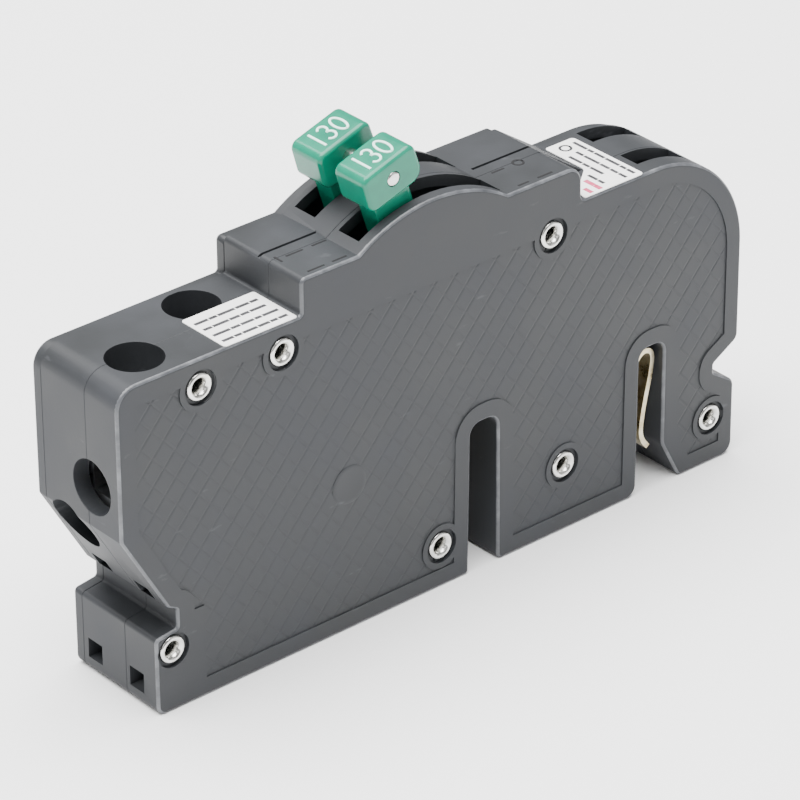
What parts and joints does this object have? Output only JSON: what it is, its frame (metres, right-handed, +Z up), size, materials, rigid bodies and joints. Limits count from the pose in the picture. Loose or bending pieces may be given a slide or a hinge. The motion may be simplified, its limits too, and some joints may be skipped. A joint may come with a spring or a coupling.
{
  "type": "two-pole plug-in circuit breaker",
  "caption": "Thin two-pole plug-in circuit breaker: dark moulded case, green tied toggles, screw terminals at one end and busbar jaws in slots below.",
  "frame": {"origin": "under the middle of the moulded body, on the plane it stands on", "axes": "+X from the terminal end to the jaw end, +Y from the near pole to the far pole, +Z up towards the handles"},
  "size_m": [0.1174, 0.019, 0.0731],
  "materials": {
    "moulded_case": "satin moulded phenolic",
    "handle_plastic": "moulded, semi-gloss",
    "plated_steel": "bright tin or zinc plate",
    "clip_bronze": "tin-flashed spring bronze",
    "copper": "drawn copper strip",
    "silver_contact": "silver alloy button",
    "mild_steel": "pressed steel",
    "bimetal": "rolled bimetal strip",
    "arc_plates": "steel plates in fibre cards",
    "trip_bar_plastic": "moulded nylon",
    "white_label": "printed sticker"
  },
  "bodies": {
    "case": {"near_cover": "moulded_case", "centre_case": "moulded_case", "far_cover": "moulded_case", "rivets": "plated_steel", "near_line_clip": "clip_bronze", "far_line_clip": "clip_bronze", "near_fixed_contact": "silver_contact", "far_fixed_contact": "silver_contact", "arm_pins": "mild_steel", "cradle_pins": "mild_steel", "near_bimetal": "bimetal", "far_bimetal": "bimetal", "near_magnet_yoke": "mild_steel", "far_magnet_yoke": "mild_steel", "armature_pins": "mild_steel", "calibration_screws": "clip_bronze", "near_braid": "copper", "far_braid": "copper", "near_load_strap": "copper", "far_load_strap": "copper", "near_terminal_lug": "plated_steel", "far_terminal_lug": "plated_steel", "near_arc_chute": "arc_plates", "far_arc_chute": "arc_plates", "terminal_label": "white_label", "rating_label": "white_label"},
    "handles": {"near_handle": "handle_plastic", "far_handle": "handle_plastic", "handle_tie_pin": "plated_steel"},
    "near_arm": {"near_contact_arm": "copper", "near_moving_contact": "silver_contact", "near_toggle_spring": "mild_steel"},
    "far_arm": {"far_contact_arm": "copper", "far_moving_contact": "silver_contact", "far_toggle_spring": "mild_steel"},
    "near_cradle": {"near_cradle": "mild_steel"},
    "far_cradle": {"far_cradle": "mild_steel"},
    "trip_bar": {"trip_bar": "trip_bar_plastic"},
    "near_armature": {"near_armature": "mild_steel"},
    "far_armature": {"far_armature": "mild_steel"},
    "near_clamp_pad": {"near_clamp_pad": "plated_steel"},
    "near_clamp_screw": {"near_clamp_screw": "plated_steel"},
    "far_clamp_pad": {"far_clamp_pad": "plated_steel"},
    "far_clamp_screw": {"far_clamp_screw": "plated_steel"}
  },
  "joints": [
    {"name": "handle_swing", "type": "hinge", "parent": "case", "child": "handles", "pos_m": [0.0005, 0, 0.0395], "axis": [0, 1, 0], "range_deg": [-4, 36]},
    {"name": "near_arm_swing", "type": "hinge", "parent": "case", "child": "near_arm", "pos_m": [0.0065, -0.0053, 0.0315], "axis": [0, 1, 0], "range_deg": [-1.4, 12.1], "deforming": ["near_toggle_spring"]},
    {"name": "far_arm_swing", "type": "hinge", "parent": "case", "child": "far_arm", "pos_m": [0.0065, 0.0042, 0.0315], "axis": [0, 1, 0], "range_deg": [-1.4, 12.1], "deforming": ["far_toggle_spring"]},
    {"name": "cradle_drop", "type": "hinge", "parent": "case", "child": "far_cradle", "pos_m": [0.0165, 0.00725, 0.0455], "axis": [0, -1, 0], "range_deg": [0, 12]},
    {"name": "near_cradle_drop", "type": "hinge", "parent": "case", "child": "near_cradle", "pos_m": [0.0165, -0.00228, 0.0455], "axis": [0, -1, 0], "range_deg": [0, 12.1]},
    {"name": "trip_bar_turn", "type": "hinge", "parent": "case", "child": "trip_bar", "pos_m": [-0.015, 0, 0.0205], "axis": [0, 1, 0], "range_deg": [0, 10.1]},
    {"name": "near_armature_swing", "type": "hinge", "parent": "case", "child": "near_armature", "pos_m": [-0.0214, -0.0047, 0.042], "axis": [0, 1, 0], "range_deg": [0, 3], "stiffness_Nm_per_rad": 0.002, "springref_deg": -5.73},
    {"name": "far_armature_swing", "type": "hinge", "parent": "case", "child": "far_armature", "pos_m": [-0.0214, 0.0048, 0.042], "axis": [0, 1, 0], "range_deg": [0, 3], "stiffness_Nm_per_rad": 0.002, "springref_deg": -5.73},
    {"name": "near_pad_slide", "type": "slide", "parent": "case", "child": "near_clamp_pad", "axis": [0, 0, -1], "range_m": [0, 0.0024]},
    {"name": "near_screw_turn", "type": "hinge", "parent": "near_clamp_pad", "child": "near_clamp_screw", "pos_m": [-0.0506, -0.0032, 0.0442], "axis": [0, 0, -1], "range_deg": [0, 1081]},
    {"name": "far_pad_slide", "type": "slide", "parent": "case", "child": "far_clamp_pad", "axis": [0, 0, -1], "range_m": [0, 0.0024]},
    {"name": "far_screw_turn", "type": "hinge", "parent": "far_clamp_pad", "child": "far_clamp_screw", "pos_m": [-0.0356, 0.0032, 0.0349], "axis": [0, 0, -1], "range_deg": [0, 1081]}
  ],
  "couplings": [
    {"joint": "near_arm_swing", "follows": "handle_swing", "ratio": 0.33333},
    {"joint": "far_arm_swing", "follows": "handle_swing", "ratio": 0.33333},
    {"joint": "near_cradle_drop", "follows": "cradle_drop", "ratio": 1},
    {"joint": "trip_bar_turn", "follows": "cradle_drop", "ratio": 0.83333},
    {"joint": "near_screw_turn", "follows": "near_pad_slide", "rad_per_m": 7854},
    {"joint": "far_screw_turn", "follows": "far_pad_slide", "rad_per_m": 7854}
  ]
}
